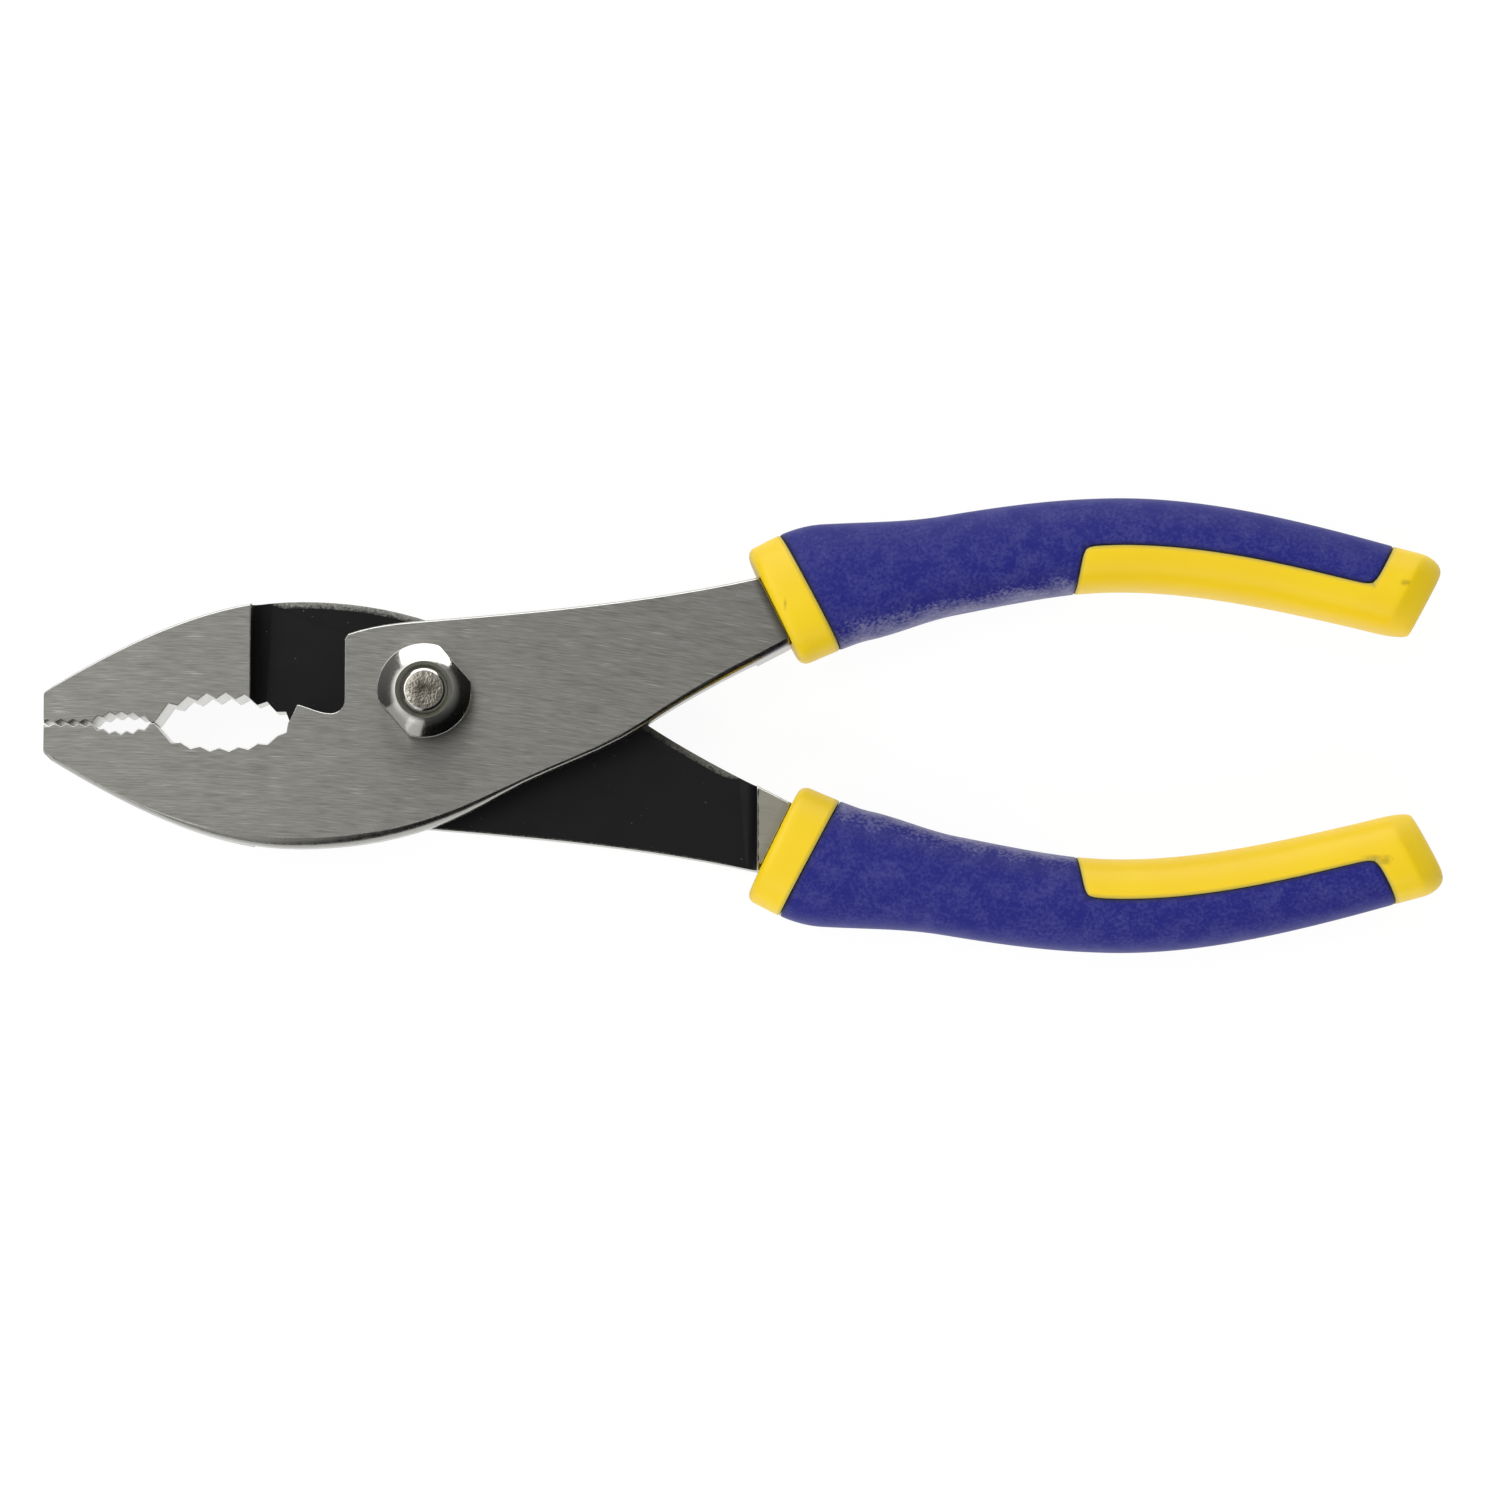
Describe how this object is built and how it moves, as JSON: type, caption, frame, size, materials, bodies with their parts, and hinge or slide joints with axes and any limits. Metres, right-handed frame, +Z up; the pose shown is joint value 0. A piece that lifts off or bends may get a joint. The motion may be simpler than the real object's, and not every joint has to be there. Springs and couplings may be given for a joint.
{
  "type": "slip joint pliers",
  "caption": "Slip joint pliers with toothed jaws, pipe grip and wire cutter, a slotted two-place pivot and bowed two-colour moulded grips.",
  "frame": {"origin": "pivot axis at the bearing face of the bolt head, which is the surface the tool lies on", "axes": "+X from the jaws to the handle ends, +Y across to the upper handle, +Z up along the pivot axis to the nut"},
  "size_m": [0.1649, 0.0538, 0.0154],
  "materials": {
    "ground_steel": "ground bright on the outer faces, black in the lap recess",
    "plated_steel": "bright plated",
    "yellow_plastic": "satin moulded",
    "blue_cover": "matte soft-touch, lightly scuffed"
  },
  "bodies": {
    "front_half": {"front_half": "ground_steel", "upper_grip_core": "yellow_plastic", "upper_grip_cover": "blue_cover"},
    "pivot": {"pivot_bolt": "plated_steel", "pivot_nut": "plated_steel"},
    "rear_half": {"rear_half": "ground_steel", "lower_grip_core": "yellow_plastic", "lower_grip_cover": "blue_cover"}
  },
  "joints": [
    {"name": "jaw_hinge", "type": "hinge", "parent": "front_half", "child": "pivot", "pos_m": [0, 0, 0.00655], "axis": [0, 0, -1], "range_deg": [0, 70]},
    {"name": "slip", "type": "slide", "parent": "pivot", "child": "rear_half", "axis": [0, 1, 0], "range_m": [0, 0.006]}
  ]
}
